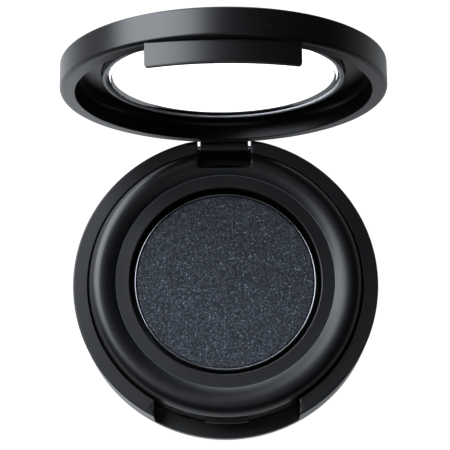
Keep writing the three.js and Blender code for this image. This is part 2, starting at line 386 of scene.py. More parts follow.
def makeGrainGroup():
    # fine spark-eroded grain, a slow drift in gloss, polished edges and a little dust:
    # roughness = given + 2 spread (drift - 0.5) - polish edge + dust
    look = grainLook
    group, inn, out = newGroup("mouldedGrain", [
        ("Grain Scale", "NodeSocketFloat", 6000.0), ("Roughness", "NodeSocketFloat", 0.38),
        ("Roughness Spread", "NodeSocketFloat", 0.05), ("Edge Polish", "NodeSocketFloat", 0.08),
        ("Dust", "NodeSocketFloat", 0.3)],
        [("Roughness", "NodeSocketFloat"), ("Height", "NodeSocketFloat"), ("Edge", "NodeSocketFloat"),
         ("Dust", "NodeSocketFloat")])
    place = objectPlace(group)
    grain = noiseNode(group, place, inn.outputs["Grain Scale"], 3.0, 0.6)
    drift = noiseNode(group, place, look["driftScale"], 3.0, 0.55)
    # small rounds are where the smooth normal leaves the face's own normal
    surface = addNode(group, "ShaderNodeNewGeometry")
    apart = addNode(group, "ShaderNodeVectorMath", operation="DISTANCE")
    group.links.new(surface.outputs["Normal"], apart.inputs[0])
    group.links.new(surface.outputs["True Normal"], apart.inputs[1])
    edge = rampNode(group, apart.outputs["Value"], look["edgeFrom"], look["edgeTo"])
    distance, chance = cellsNode(group, place, look["speckScale"])
    speck = mathNode(group, "LESS_THAN", distance, look["speckSize"])
    rare = mathNode(group, "GREATER_THAN", chance[0], look["speckChance"])
    dust = mathNode(group, "MULTIPLY", mathNode(group, "MULTIPLY", speck, rare), inn.outputs["Dust"])
    swing = mathNode(group, "SUBTRACT", drift, 0.5)
    swing = mathNode(group, "MULTIPLY", swing, inn.outputs["Roughness Spread"])
    rough = mathNode(group, "ADD", inn.outputs["Roughness"], mathNode(group, "MULTIPLY", swing, 2.0))
    rough = mathNode(group, "SUBTRACT", rough, mathNode(group, "MULTIPLY", edge, inn.outputs["Edge Polish"]))
    group.links.new(mathNode(group, "ADD", rough, dust), out.inputs["Roughness"])
    group.links.new(grain, out.inputs["Height"])
    # the edge mask also drives the painted edge highlight of the plastics
    group.links.new(edge, out.inputs["Edge"])
    group.links.new(dust, out.inputs["Dust"])
    return group


grainGroup = makeGrainGroup()


def newMaterial(name):
    # a material with its tree and its main shader
    material = bpy.data.materials.new(name)
    material.use_nodes = True
    tree = material.node_tree
    shader = next(node for node in tree.nodes if node.type == "BSDF_PRINCIPLED")
    return material, tree, shader


def addGrain(tree, settings):
    # the shared grain group with its inputs set
    node = addNode(tree, "ShaderNodeGroup", node_tree=grainGroup)
    for label, value in settings.items():
        node.inputs[label].default_value = value
    return node


def addBump(tree, shader, height, strength, distance):
    # tilts the normal as if the surface rose by height x distance
    bump = addNode(tree, "ShaderNodeBump")
    bump.inputs["Strength"].default_value = strength
    bump.inputs["Distance"].default_value = distance
    tree.links.new(height, bump.inputs["Height"])
    tree.links.new(bump.outputs["Normal"], shader.inputs["Normal"])


def coat(tree, shader, tone, rough):
    # the colour and the roughness of a shader
    tree.links.new(tone, shader.inputs["Base Color"])
    tree.links.new(rough, shader.inputs["Roughness"])


# satin black mouldings: two darkness levels mixed by a slow noise, and a painted highlight: lighter grey on
# the small rounds of the edges, standing in for the glints they catch
plasticLooks = {
    "basePlastic": {"dark": (0.0018, 0.0019, 0.0023, 1), "light": (0.0034, 0.0036, 0.0044, 1),
                    "rough": 0.37, "spread": 0.03, "grain": 5200.0, "bump": 0.10},
    "framePlastic": {"dark": (0.0016, 0.0018, 0.0023, 1), "light": (0.0030, 0.0033, 0.0042, 1),
                     "rough": 0.37, "spread": 0.03, "grain": 5600.0, "bump": 0.09},
    "lidPlastic": {"dark": (0.0018, 0.0019, 0.0023, 1), "light": (0.0034, 0.0035, 0.0042, 1),
                   "rough": 0.33, "spread": 0.025, "grain": 6000.0, "bump": 0.07},
}
# edge is the colour of the painted edge highlight, dust the grey of dust specks
plasticWearAndHighlight = {"toneScale": 260.0, "edge": (0.15, 0.16, 0.18, 1), "dust": (0.16, 0.16, 0.165, 1),
               "share": 0.8, "edgePolish": 0.07, "dustAmount": 0.12}


def makePlastic(name):
    # dark to light by the slow noise, then towards a lighter grey by share x edge (a painted edge highlight)
    # and towards grey by share x dust (real dust)
    look, wearAndHighlight = plasticLooks[name], plasticWearAndHighlight
    material, tree, shader = newMaterial(name)
    grain = addGrain(tree, {"Grain Scale": look["grain"], "Roughness": look["rough"],
                            "Roughness Spread": look["spread"], "Edge Polish": wearAndHighlight["edgePolish"],
                            "Dust": wearAndHighlight["dustAmount"]})
    place = objectPlace(tree)
    tone = mixColour(tree, noiseNode(tree, place, wearAndHighlight["toneScale"], 4.0, 0.6), look["dark"], look["light"])
    # painted highlight: the edges' small rounds are lightened towards grey, standing in for their glints
    paintedEdgeHighlight = mathNode(tree, "MULTIPLY", grain.outputs["Edge"], wearAndHighlight["share"])
    tone = mixColour(tree, paintedEdgeHighlight, tone, wearAndHighlight["edge"])
    dusty = mathNode(tree, "MULTIPLY", grain.outputs["Dust"], wearAndHighlight["share"])
    tone = mixColour(tree, dusty, tone, wearAndHighlight["dust"])
    coat(tree, shader, tone, grain.outputs["Roughness"])
    shader.inputs["IOR"].default_value = 1.5
    addBump(tree, shader, grain.outputs["Height"], look["bump"], 0.00002)
    return material


def makePowder():
    # charcoal cake: grains of mixed darkness, a faint blue cast, and flakes of silver in the brightest cells,
    # painted as light specks that also stand in for their sparkle (a painted glint)
    look = {"dark": (0.012, 0.0145, 0.0195, 1), "light": (0.095, 0.108, 0.135, 1),
            "flakeAndGlint": (0.34, 0.38, 0.44, 1), "grainScale": 5200.0, "flakeScale": 4600.0,
            "cloudScale": 420.0, "cloudShare": 0.35, "flakeChance": 0.86, "spotFrom": 0.22,
            "spotTo": 0.45, "rough": 0.82, "flakePolish": 0.45, "shine": 0.25}
    material, tree, shader = newMaterial("pressedPowder")
    place = objectPlace(tree)
    fine = noiseNode(tree, place, look["grainScale"], 3.0, 0.75)
    cloud = noiseNode(tree, place, look["cloudScale"], 4.0, 0.6)
    shade = cellsNode(tree, place, look["grainScale"])[1]
    speckle = mathNode(tree, "POWER", shade[1], 2.0)
    speckle = mathNode(tree, "MULTIPLY", speckle, rampNode(tree, fine, 0.25, 0.6))
    tone = mixColour(tree, speckle, look["dark"], look["light"])
    tone = mixColour(tree, mathNode(tree, "MULTIPLY", cloud, look["cloudShare"]), tone, look["dark"])
    # silver flakes with a painted glint: chosen cells are painted a light grey-blue, standing in for the
    # sparkle of the glitter
    distance, chance = cellsNode(tree, place, look["flakeScale"])
    chosen = rampNode(tree, chance[0], look["flakeChance"], 1.0)
    spot = rampNode(tree, distance, look["spotFrom"], look["spotTo"], (grey(1), grey(0)))
    flakeAndGlint = mathNode(tree, "MULTIPLY", chosen, spot)
    tone = mixColour(tree, flakeAndGlint, tone, look["flakeAndGlint"])
    polish = mathNode(tree, "MULTIPLY", flakeAndGlint, look["flakePolish"])
    rough = mathNode(tree, "SUBTRACT", look["rough"], polish)
    coat(tree, shader, tone, rough)
    shader.inputs["Specular IOR Level"].default_value = look["shine"]
    height = mathNode(tree, "MULTIPLY_ADD", fine, 0.8, mathNode(tree, "MULTIPLY", cloud, 0.5))
    addBump(tree, shader, height, 0.55, 0.00004)
    return material


def makeFlake():
    # small bright mirrors, each a slightly different silver
    look = {"dark": (0.3, 0.33, 0.38, 1), "light": (0.85, 0.9, 1.0, 1), "toneScale": 900.0,
            "polished": 0.3, "dull": 0.5, "roughScale": 1500.0, "metallic": 0.8}
    material, tree, shader = newMaterial("silverFlake")
    place = objectPlace(tree)
    tone = mixColour(tree, noiseNode(tree, place, look["toneScale"], 1.0), look["dark"], look["light"])
    patches = noiseNode(tree, place, look["roughScale"])
    rough = rampNode(tree, patches, 0.3, 0.7, (grey(look["polished"]), grey(look["dull"])))
    coat(tree, shader, tone, rough)
    shader.inputs["Metallic"].default_value = look["metallic"]
    return material


def makeMetal(name, dark, light, rough, stretch):
    # drawn or pressed metal: a noise stretched along the way the metal was worked
    material, tree, shader = newMaterial(name)
    lines = noiseNode(tree, stretchedPlace(tree, stretch), 1.0, 4.0, 0.6)
    grain = addGrain(tree, {"Grain Scale": 3000.0, "Roughness": rough, "Roughness Spread": 0.08,
                            "Edge Polish": 0.1, "Dust": 0.0})
    coat(tree, shader, mixColour(tree, lines, dark, light), grain.outputs["Roughness"])
    shader.inputs["Metallic"].default_value = 1.0
    addBump(tree, shader, lines, 0.12, 0.00002)
    return material


def makePaper():
    # blank coated label: faint fibres under a dull coating
    look = {"dark": (0.50, 0.50, 0.485, 1), "light": (0.66, 0.66, 0.645, 1), "stain": (0.55, 0.545, 0.52, 1),
            "stainShare": 0.25, "smooth": 0.42, "rough": 0.6, "fibreScale": (900.0, 2600.0, 900.0)}
    material, tree, shader = newMaterial("labelPaper")
    place = objectPlace(tree)
    fibre = noiseNode(tree, stretchedPlace(tree, look["fibreScale"]), 1.0, 5.0, 0.65)
    blotch = noiseNode(tree, place, 180.0, 3.0)
    tone = mixColour(tree, fibre, look["dark"], look["light"])
    tone = mixColour(tree, mathNode(tree, "MULTIPLY", blotch, look["stainShare"]), tone, look["stain"])
    rough = rampNode(tree, blotch, 0.3, 0.7, (grey(look["smooth"]), grey(look["rough"])))
    coat(tree, shader, tone, rough)
    addBump(tree, shader, fibre, 0.2, 0.00003)
    return material


def makeGlue():
    # yellowish set glue with soft lumps
    look = {"dark": (0.60, 0.57, 0.48, 1), "light": (0.80, 0.78, 0.70, 1), "lumpScale": 700.0,
            "wet": 0.3, "dry": 0.55}
    material, tree, shader = newMaterial("curedGlue")
    lumps = noiseNode(tree, objectPlace(tree), look["lumpScale"], 4.0, 0.6)
    tone = mixColour(tree, lumps, look["dark"], look["light"])
    rough = rampNode(tree, lumps, 0.3, 0.7, (grey(look["wet"]), grey(look["dry"])))
    coat(tree, shader, tone, rough)
    addBump(tree, shader, lumps, 0.4, 0.00008)
    return material


def makeClear(name, tint, rough, ior, scratch):
    # clear moulding with fine hairlines in the polish. Shadows and reflections pass straight
    # through it, and lose more of their light the more they slant
    look = {"hairScale": (260.0, 4200.0, 700.0), "hairTurn": (0.2, 0.1, 0.5), "haze": (0.97, 0.975, 0.98, 1),
            "lossFrom": 0.25, "lossTo": 0.65, "leftOver": 0.5}
    material, tree, shader = newMaterial(name)
    hair = noiseNode(tree, stretchedPlace(tree, look["hairScale"], look["hairTurn"]), 1.0, 3.0, 0.6)
    tone = mixColour(tree, noiseNode(tree, objectPlace(tree), 200.0), tint, look["haze"])
    polish = rampNode(tree, hair, 0.45, 0.75, (grey(rough), grey(rough + scratch)))
    coat(tree, shader, tone, polish)
    shader.inputs["Transmission Weight"].default_value = 1.0
    shader.inputs["IOR"].default_value = ior
    addBump(tree, shader, hair, 0.02, 0.00001)
    clear = addNode(tree, "ShaderNodeBsdfTransparent")
    slant = addNode(tree, "ShaderNodeLayerWeight")
    loss = rampNode(tree, slant.outputs["Facing"], look["lossFrom"], look["lossTo"],
                    (grey(1), grey(look["leftOver"])))
    tree.links.new(loss, clear.inputs["Color"])
    path = addNode(tree, "ShaderNodeLightPath")
    plain = mathNode(tree, "MAXIMUM", path.outputs["Is Shadow Ray"], path.outputs["Is Glossy Ray"])
    mix = addNode(tree, "ShaderNodeMixShader")
    output = next(node for node in tree.nodes if node.type == "OUTPUT_MATERIAL")
    tree.links.new(plain, mix.inputs[0])
    tree.links.new(shader.outputs[0], mix.inputs[1])
    tree.links.new(clear.outputs[0], mix.inputs[2])
    tree.links.new(mix.outputs[0], output.inputs["Surface"])
    return material


def makePaleRing():
    # pale translucent moulding round the window
    look = {"dark": (0.23, 0.235, 0.245, 1), "light": (0.34, 0.345, 0.355, 1), "cloudScale": 300.0}
    material, tree, shader = newMaterial("paleRing")
    grain = addGrain(tree, {"Grain Scale": 4200.0, "Roughness": 0.3, "Roughness Spread": 0.05,
                            "Edge Polish": 0.1, "Dust": 0.1})
    cloud = noiseNode(tree, objectPlace(tree), look["cloudScale"], 3.0)
    tone = mixColour(tree, cloud, look["dark"], look["light"])
    coat(tree, shader, tone, grain.outputs["Roughness"])
    addBump(tree, shader, grain.outputs["Height"], 0.08, 0.00002)
    return material


basePlastic = makePlastic("basePlastic")
framePlastic = makePlastic("framePlastic")
lidPlastic = makePlastic("lidPlastic")
powderLook = makePowder()
flakeLook = makeFlake()
panMetal = makeMetal("panMetal", (0.16, 0.165, 0.18, 1), (0.3, 0.305, 0.32, 1), 0.26, (900.0, 900.0, 4200.0))
pinSteel = makeMetal("pinSteel", (0.50, 0.51, 0.53, 1), (0.70, 0.71, 0.73, 1), 0.22, (300.0, 5000.0, 5000.0))
labelPaper = makePaper()
gluePaste = makeGlue()
clearWindow = makeClear("clearWindow", (0.985, 0.99, 0.99, 1), 0.015, 1.49, 0.02)
paleRing = makePaleRing()
print("materials ready")


baseHigh = boxOf("base_shell")[1]
panLow, panHigh = boxOf("pan")
powderLow, powderHigh = boxOf("powder")
labelLow, labelHigh = boxOf("underside_label")
glueLow, glueHigh = boxOf("pan_adhesive")
pinHigh = boxOf("hinge_pin")[1]

baseShape = {
    "seamRadius": 20.12, "floor": 1.2, "bottomRounding": 0.8, "flangeRounding": 0.22, "seamRounding": 0.12,
    "labelRecess": 0.3, "labelGap": 0.2, "notchHalf": 10.4, "notchFloor": 2.24, "rearHalf": 4.0,
    "rearFloor": 3.8, "rearEnd": 16.85, "rearRounding": 0.5, "swingRadius": 1.2, "pinHole": 0.43,
    "pinSpare": 0.15, "edgeRound": 0.08, "cutReach": 26.0, "earReach": 12.0, "cutSpare": 2.0,
}


def rearNotch(shape, top):
    # a slot open at the back, its inner corners quarter rounds: half - r (1 - cos t) across
    # and end + r (1 - sin t) along
    half, end, r = shape["rearHalf"], shape["rearEnd"], shape["rearRounding"]
    turn = np.linspace(0, math.pi / 2, 7)
    left = np.stack([-half + r - r * np.cos(turn), end + r - r * np.sin(turn)], axis=1)
    right = np.stack([-left[::-1, 0], left[::-1, 1]], axis=1)
    outline = np.concatenate([[[-half, shape["cutReach"]]], left, right, [[half, shape["cutReach"]]]])
    return prism("rear notch cutter", outline, shape["rearFloor"], top)


def makeBaseShell():
    # a lathed cup, cut by the front notch (which ends on the seam's circle, y = -sqrt(R^2 - x^2)),
    # the rear slot, the ears' relief (an arc about the hinge line) and the pin's hole
    shape = baseShape
    outer, top = baseHigh[0], baseHigh[2]
    labelEdge = labelHigh[0] + shape["labelGap"]
    body = lathe("baseShell", [
        (0, shape["labelRecess"], 0), (labelEdge, shape["labelRecess"], 0), (labelEdge, 0, 0.06),
        (outer, 0, shape["bottomRounding"]), (outer, top, shape["flangeRounding"]),
        (shape["seamRadius"], top, shape["seamRounding"]), (shape["seamRadius"], shape["floor"], 0),
        (0, shape["floor"], 0)], segments=288, onAxis=True)
    half, seam = shape["notchHalf"], shape["seamRadius"]
    far, over = shape["cutReach"], top + shape["cutSpare"]
    across = np.linspace(half, -half, 49)
    inner = np.stack([across, -np.sqrt(seam ** 2 - across ** 2)], axis=1)
    frontOutline = np.concatenate([[[-half, -far], [half, -far]], inner])
    front = prism("front notch cutter", frontOutline, shape["notchFloor"], over)
    turn = np.linspace(0, math.pi / 2, 25)
    swing = np.stack([hinge[1] + shape["swingRadius"] * np.cos(turn),
                      hinge[2] + shape["swingRadius"] * np.sin(turn)], axis=1)
    earOutline = np.concatenate([swing, [[hinge[1], over], [far, over], [far, hinge[2]]]])
    ears = prism("ear cutter", earOutline, -shape["earReach"], shape["earReach"], axis="x")
    hole = bar("pin hole cutter", shape["pinHole"], pinHigh[0] + shape["pinSpare"])
    cutAway(body, [front, rearNotch(shape, over), ears, hole])
    softenEdges(body, shape["edgeRound"])
    return finishPiece(body, basePlastic, "base", ["base_shell"])


makeBaseShell()


frameShape = {
    "outer": 19.9, "crestRadius": 18.102, "ringInner": 15.86, "hole": 13.89, "rise": 1.9, "land": 8.0,
    "wall": 1.0, "low": 1.3, "wellFloor": 3.37, "wellBase": 2.57, "holeRounding": 0.2,
    "catchHalf": 3.1, "catchTop": 5.6, "catchLow": 5.0, "catchRadius": 20.58, "catchRound": 0.14,
    "catchRoot": 0.3, "cutSpare": 4.0, "edgeRound": 0.07,
}


def rollOutline(shape, base, drop):
    # outside the crest a quarter ellipse, (crest + a cos t, base + rise sin t), and inside it a
    # parabola down to the land, crest height - fall share^2. A drop lowers it and shrinks the outside
    outer, crest, inner = shape["outer"] - drop, shape["crestRadius"], shape["ringInner"]
    turn = np.linspace(0, math.pi / 2, 29)
    outside = np.stack([crest + (outer - crest) * np.cos(turn),
                        base - drop + shape["rise"] * np.sin(turn)], axis=1)
    share = np.linspace(0, 1, 29)[1:]
    fall = base + shape["rise"] - shape["land"]
    inside = np.stack([crest - (crest - inner) * share,
                       base + shape["rise"] - drop - fall * share ** 2], axis=1)
    return np.concatenate([outside, inside])


def makeInnerFrame():
    # one lathed outline: under the well, under the roll, down the skirt, over the roll and
    # down the lip into the well. The rear slot is cut and the catch added
    shape = frameShape
    base = baseHigh[2]
    under = rollOutline(shape, base, shape["wall"])[::-1]
    over = rollOutline(shape, base, 0)
    wellOutside = shape["hole"] + shape["wall"]
    lip = roundedOutline([(shape["ringInner"], shape["land"], 0),
                          (shape["hole"], shape["land"], shape["holeRounding"]),
                          (shape["hole"], shape["wellFloor"], 0)])[1:-1]
    outline = np.concatenate([
        [[0, shape["wellBase"]], [wellOutside, shape["wellBase"]],
         [wellOutside, shape["land"] - shape["wall"]]],
        under, [[shape["outer"] - shape["wall"], shape["low"]], [shape["outer"], shape["low"]]], over, lip,
        [[shape["hole"], shape["wellFloor"]], [0, shape["wellFloor"]]]])
    segments = 288
    body = meshFrom("frameBody", latheGrid(outline, segments), gridFaces(segments, len(outline), True, False))
    cutAway(body, [rearNotch(baseShape, base + shape["cutSpare"])])
    softenEdges(body, shape["edgeRound"], limit=55)
    # the catch: a short curved bead on the front of the skirt, its root sunk into the wall
    root = shape["outer"] - shape["catchRoot"]
    section = roundedOutline([(root, shape["catchLow"], 0),
                              (shape["catchRadius"], shape["catchLow"], shape["catchRound"]),
                              (shape["catchRadius"], shape["catchTop"], shape["catchRound"] / 2),
                              (root, shape["catchTop"], 0)])
    catch = bead("catch", section, shape["catchHalf"], shape["catchRadius"], 33)
    piece = joined("innerFrame", [body, catch])
    return finishPiece(piece, framePlastic, "base", ["inner_frame"])


makeInnerFrame()


panShape = {"wall": 0.3, "rounding": 0.5, "rimRounding": 0.14}


def makePan():
    # a lathed cup whose inside is its outside moved in by the wall
    r, low, high = panHigh[0], panLow[2], panHigh[2]
    wall, rounding, rim = panShape["wall"], panShape["rounding"], panShape["rimRounding"]
    piece = lathe("metalPan", [
        (0, low, 0), (r, low, rounding), (r, high, rim), (r - wall, high, rim),
        (r - wall, low + wall, rounding - wall), (0, low + wall, 0)], segments=256, onAxis=True, stepAngle=18)
    return finishPiece(piece, panMetal, "base", ["pan"])


powderShape = {"edge": 0.2, "foot": 0.2, "crown": 0.06, "rings": 60, "segments": 240, "ripple": 0.012}


def cakeHeight(x, y, radius, top):
    # a shallow crown, top - crown (r / radius)^2, less ripple (1 - cos w) (1 - (r / radius)^4),
    # where w adds up three crossing waves, 1.4 to 3.7 mm long, left by the press
    shape = powderShape
    share = np.hypot(x, y) / radius
    ripple = (np.sin(x * 1.7 + 0.6 * np.sin(y * 1.1)) + np.sin(y * 2.1 + 0.8 * np.sin(x * 0.9))
              + np.sin((x + y) * 3.1))
    return top - shape["crown"] * share ** 2 - shape["ripple"] * (1 - np.cos(ripple)) * (1 - share ** 4)


def makePowderCake():
    # a chamfered foot, straight sides, a quarter round (R - edge (1 - cos t), shoulder -
    # edge (1 - sin t)) and the crown, as one grid
    shape = powderShape
    radius, low, high = powderHigh[0], powderLow[2], powderHigh[2]
    turn = np.linspace(0, 2 * math.pi, shape["segments"], endpoint=False)[:, None]
    reach = np.linspace(0, radius - shape["edge"], shape["rings"])[::-1]
    x, y = reach * np.cos(turn), reach * np.sin(turn)
    top = gridOf(x, y, cakeHeight(x, y, radius, high))
    shoulder = high - shape["crown"]
    arc = np.linspace(0, math.pi / 2, 5)[:-1]
    sideR = np.concatenate([[0, radius - shape["foot"], radius], radius - shape["edge"] * (1 - np.cos(arc))])
    sideZ = np.concatenate([[low, low, low + shape["foot"]], shoulder - shape["edge"] * (1 - np.sin(arc))])
    side = gridOf(sideR * np.cos(turn), sideR * np.sin(turn), sideZ)
    grid = np.concatenate([side, top], axis=1)
    piece = meshFrom("pressedPowder", grid, gridFaces(shape["segments"], grid.shape[1], True, False))
    return finishPiece(piece, powderLook, "base", ["powder"], sharpAngle=60)


flakeShape = {"count": 1500, "smallest": 0.035, "largest": 0.075, "tilt": 0.42, "thickness": 0.012,
              "seed": 11, "sink": 0.012, "edgeGap": 0.35, "liftShare": 0.6}


def makeFlakes():
    # thin hexagons scattered evenly over the cake (r = R sqrt(u)), each tilted its own way:
    # height = cake + share (x slopeX + y slopeY) - sink
    shape = flakeShape
    draw = np.random.default_rng(shape["seed"])
    count = shape["count"]
    radius = powderHigh[0]
    r = (radius - shape["edgeGap"]) * np.sqrt(draw.random(count))
    t = draw.random(count) * 2 * math.pi
    x, y = r * np.cos(t), r * np.sin(t)
    z = cakeHeight(x, y, radius, powderHigh[2])
    size = shape["smallest"] + (shape["largest"] - shape["smallest"]) * draw.random(count) ** 2
    turn = np.linspace(0, 2 * math.pi, 6, endpoint=False)[None, :] + draw.random((count, 1)) * math.pi
    flatX = size[:, None] * np.cos(turn)
    flatY = size[:, None] * np.sin(turn)
    slopeX = draw.normal(0, shape["tilt"], (count, 1))
    slopeY = draw.normal(0, shape["tilt"], (count, 1))
    lift = flatX * slopeX + flatY * slopeY
    height = z[:, None] + lift * shape["liftShare"] - shape["sink"]
    upper = gridOf(x[:, None] + flatX, y[:, None] + flatY, height)
    lower = upper - [0, 0, shape["thickness"]]
    points = np.concatenate([upper, lower], axis=1).reshape(-1, 3)
    ring = np.arange(6)
    ahead = (ring + 1) % 6
    sides = np.stack([ring, ring + 6, ahead + 6, ahead], axis=1)
    start = (np.arange(count) * 12)[:, None]
    faces = (start + ring).tolist() + (start + 11 - ring).tolist()
    faces += (start[:, :, None] + sides[None, :, :]).reshape(-1, 4).tolist()
    piece = meshFrom("powderSparkle", points, faces, weld=1e-5)
    return finishPiece(piece, flakeLook, "base", [], sharpAngle=20)


# each wave is how often it goes round, how high it is and where it starts
glueShape = {"segments": 160, "rounding": 0.004, "mean": 0.94,
             "waves": ((3, 0.03, 0.4), (7, 0.02, 1.3), (13, 0.01, 0.0))}


def makeGlueSpot():
    # a pressed blob: its radius is R (mean + the sum of its waves, each height sin(often t + start))
    shape = glueShape
    radius, low, high = glueHigh[0], glueLow[2], glueHigh[2]
    edge = shape["rounding"]
    outline = roundedOutline([(0, low, 0), (1, low, edge), (1, high, edge), (0, high, 0)])
    turn = np.linspace(0, 2 * math.pi, shape["segments"], endpoint=False)[:, None]
    wave = shape["mean"]
    for often, rise, start in shape["waves"]:
        wave = wave + rise * np.sin(often * turn + start)
    r = outline[None, :, 0] * wave * radius
    grid = gridOf(r * np.cos(turn), r * np.sin(turn), outline[None, :, 1])
    piece = meshFrom("glueSpot", grid, gridFaces(shape["segments"], len(outline), True, False))
    return finishPiece(piece, gluePaste, "base", ["pan_adhesive"])


labelShape = {"rounding": 0.05}


def makeLabel():
    # a lathed disc with round edges
    radius, low, high = labelHigh[0], labelLow[2], labelHigh[2]
    edge = labelShape["rounding"]
    piece = lathe("blankLabel", [(0, low, 0), (radius, low, edge), (radius, high, edge), (0, high, 0)],
                  segments=192, onAxis=True, stepAngle=30)
    return finishPiece(piece, labelPaper, "base", ["underside_label"])


pinShape = {"chamfer": 0.1, "segments": 48}


def makePin():
    # a straight bar with chamfered ends
    piece = bar("steelPin", pinHigh[2] - hinge[2], pinHigh[0], pinShape["chamfer"], pinShape["segments"])
    return finishPiece(piece, pinSteel, "base", ["hinge_pin"], sharpAngle=30)


makePan()
makePowderCake()
makeFlakes()
makeGlueSpot()
makeLabel()
makePin()


lidHigh = closedBoxOf("lid_shell")[1]
windowHigh = closedBoxOf("window")[1]
ringLow, ringHigh = closedBoxOf("window_ring")

lidShape = {
    "rim": 6.9, "wall": 2.05, "plate": 1.0, "rimRounding": 0.6, "rimInnerRounding": 0.1, "topRounding": 0.3,
    "fillet": 1.0, "opening": 15.15, "openingRounding": 0.1, "seat": 16.65, "lip": 0.4, "seatRounding": 0.08,
    "tongueHalf": 9.7, "tongueLow": 3.95, "tongueBend": 30.0, "tongueRecess": 0.8, "tongueThickness": 0.55,
    "tongueRounding": 0.5, "edgeRound": 0.07, "hookHalf": 3.1, "hookTop": 4.85, "hookLow": 4.1,
    "hookRadius": 20.66, "hookRound": 0.1, "knuckleHalf": 3.6, "knuckleRadius": 1.13, "neckFront": 0.45,
    "neckRoot": 0.3, "knuckleRound": 0.1, "bore": 0.45, "boreSpare": 1.0, "cornerGap": 0.0005,
}


def makeTongue():
    # the front grid is y = c - sqrt(R^2 - x^2), the back one thinner by the wall, and the lower
    # edge rises at both ends by the round of its corners
    shape = lidShape
    half, r = shape["tongueHalf"], shape["tongueRounding"]
    corner = np.sin(np.linspace(0, math.pi / 2, 9))[:-1]
    middle = np.linspace(half - r, r - half, 60)
    x = np.concatenate([half - r + r * corner[::-1], middle, -(half - r + r * corner)])
    x[0], x[-1] = half - r * shape["cornerGap"], r * shape["cornerGap"] - half
    past = np.clip(np.abs(x) - (half - r), 0, r)
    low = shape["tongueLow"] + r - np.sqrt(np.maximum(r ** 2 - past ** 2, 0))
    high = shape["rim"] + shape["rimRounding"]
    down = np.linspace(0, 1, 12)[None, :]
    z = high + (low[:, None] - high) * down
    centre = shape["tongueBend"] + shape["tongueRecess"] - lidHigh[0]
    across = np.broadcast_to(x[:, None], z.shape)
    inner = shape["tongueBend"] - shape["tongueThickness"]
    front = gridOf(across, centre - np.sqrt(shape["tongueBend"] ** 2 - across ** 2), z)
    back = gridOf(across, centre - np.sqrt(inner ** 2 - across ** 2), z)
    tongue = bentSlab("tongue", front, back)
    softenEdges(tongue, shape["edgeRound"])
    return tongue


def makeHook():
    # a short bead inside the tongue that sits just under the catch
    shape = lidShape
    outside = lidHigh[0] - shape["tongueRecess"] - shape["tongueThickness"] / 2
    section = roundedOutline([(shape["hookRadius"], shape["hookLow"], shape["hookRound"]),
                              (outside, shape["hookLow"], 0), (outside, shape["hookTop"], 0),
                              (shape["hookRadius"], shape["hookTop"], shape["hookRound"])])
    return bead("hook", section, shape["hookHalf"], shape["hookRadius"], 25)


def makeKnuckle():
    # a round barrel on the hinge line that runs up into the rim as a flat neck. The arc starts
    # where the neck's front meets the barrel, at acos(-neck / r)
    shape = lidShape
    y, z, r = hinge[1], hinge[2], shape["knuckleRadius"]
    top = shape["rim"] + shape["neckRoot"]
    lowest = math.acos(-shape["neckFront"] / r)
    turn = np.linspace(-2 * math.pi + lowest, 0, 60)
    barrel = np.stack([y + r * np.cos(turn), z + r * np.sin(turn)], axis=1)
    outline = np.concatenate([[[y - shape["neckFront"], top]], barrel, [[y + r, top]]])
    knuckle = prism("knuckle", outline, -shape["knuckleHalf"], shape["knuckleHalf"], axis="x")
    cutAway(knuckle, [bar("bore cutter", shape["bore"], shape["knuckleHalf"] + shape["boreSpare"])])
    softenEdges(knuckle, shape["knuckleRound"], limit=60)
    return knuckle


def makeLidShell():
    # a lathed ring: rim, outside, top plate, opening, the window's seat and the fillet inside,
    # with the tongue, hook and knuckle added
    shape = lidShape
    outer, top, rim = lidHigh[0], lidHigh[2], shape["rim"]
    inside = outer - shape["wall"]
    under = top - shape["plate"]
    seat = top - shape["lip"]
    skirt = lathe("skirt", [
        (inside, rim, shape["rimInnerRounding"]), (outer, rim, shape["rimRounding"]),
        (outer, top, shape["topRounding"]), (shape["opening"], top, shape["openingRounding"]),
        (shape["opening"], seat, 0), (shape["seat"], seat, 0), (shape["seat"], under, shape["seatRounding"]),
        (inside, under, shape["fillet"])], segments=320, stepAngle=10)
    piece = joined("lidShell", [skirt, makeTongue(), makeHook(), makeKnuckle()])
    return finishPiece(piece, lidPlastic, "lid", ["lid_shell"], onLid=True)


windowShape = {"ringWidth": 0.5, "gap": 0.1, "bevelWidth": 0.5, "bevelHeight": 0.25, "faceRise": 0.05,
               "lip": 0.4, "flange": 0.45, "seatGap": 0.05, "ringRounding": 0.12, "fit": 0.15}


def makeWindow():
    # a lathed disc in steps: a bevelled body inside the ring, a flange that lies under the
    # seat, and a plug in the opening
    shape = windowShape
    outside = ringHigh[0]
    body = outside - shape["ringWidth"] - shape["gap"]
    face = ringLow[2] + shape["faceRise"]
    flangeTop = lidHigh[2] - shape["lip"] - shape["seatGap"]
    piece = lathe("clearWindow", [
        (0, face, 0), (body - shape["bevelWidth"], face, 0.04), (body, face + shape["bevelHeight"], 0.05),
        (body, flangeTop - shape["flange"], 0.05), (outside, flangeTop - shape["flange"], 0.05),
        (outside, flangeTop, 0.05), (lidShape["opening"] - shape["fit"], flangeTop, 0.05),
        (lidShape["opening"] - shape["fit"], windowHigh[2], 0.05), (0, windowHigh[2], 0)],
        segments=256, onAxis=True, stepAngle=20)
    return finishPiece(piece, clearWindow, "lid", ["window"], onLid=True, sharpAngle=30)


def makeWindowRing():
    # a thin lathed ring round the window's body
    shape = windowShape
    outside, low, high = ringHigh[0], ringLow[2], ringHigh[2]
    inside = outside - shape["ringWidth"]
    r = shape["ringRounding"]
    corners = [(inside, low, r), (outside, low, r), (outside, high, 0.04), (inside, high, 0.04)]
    piece = lathe("windowRing", corners, segments=256, stepAngle=18)
    return finishPiece(piece, paleRing, "lid", ["window_ring"], onLid=True)


makeLidShell()
makeWindow()
makeWindowRing()


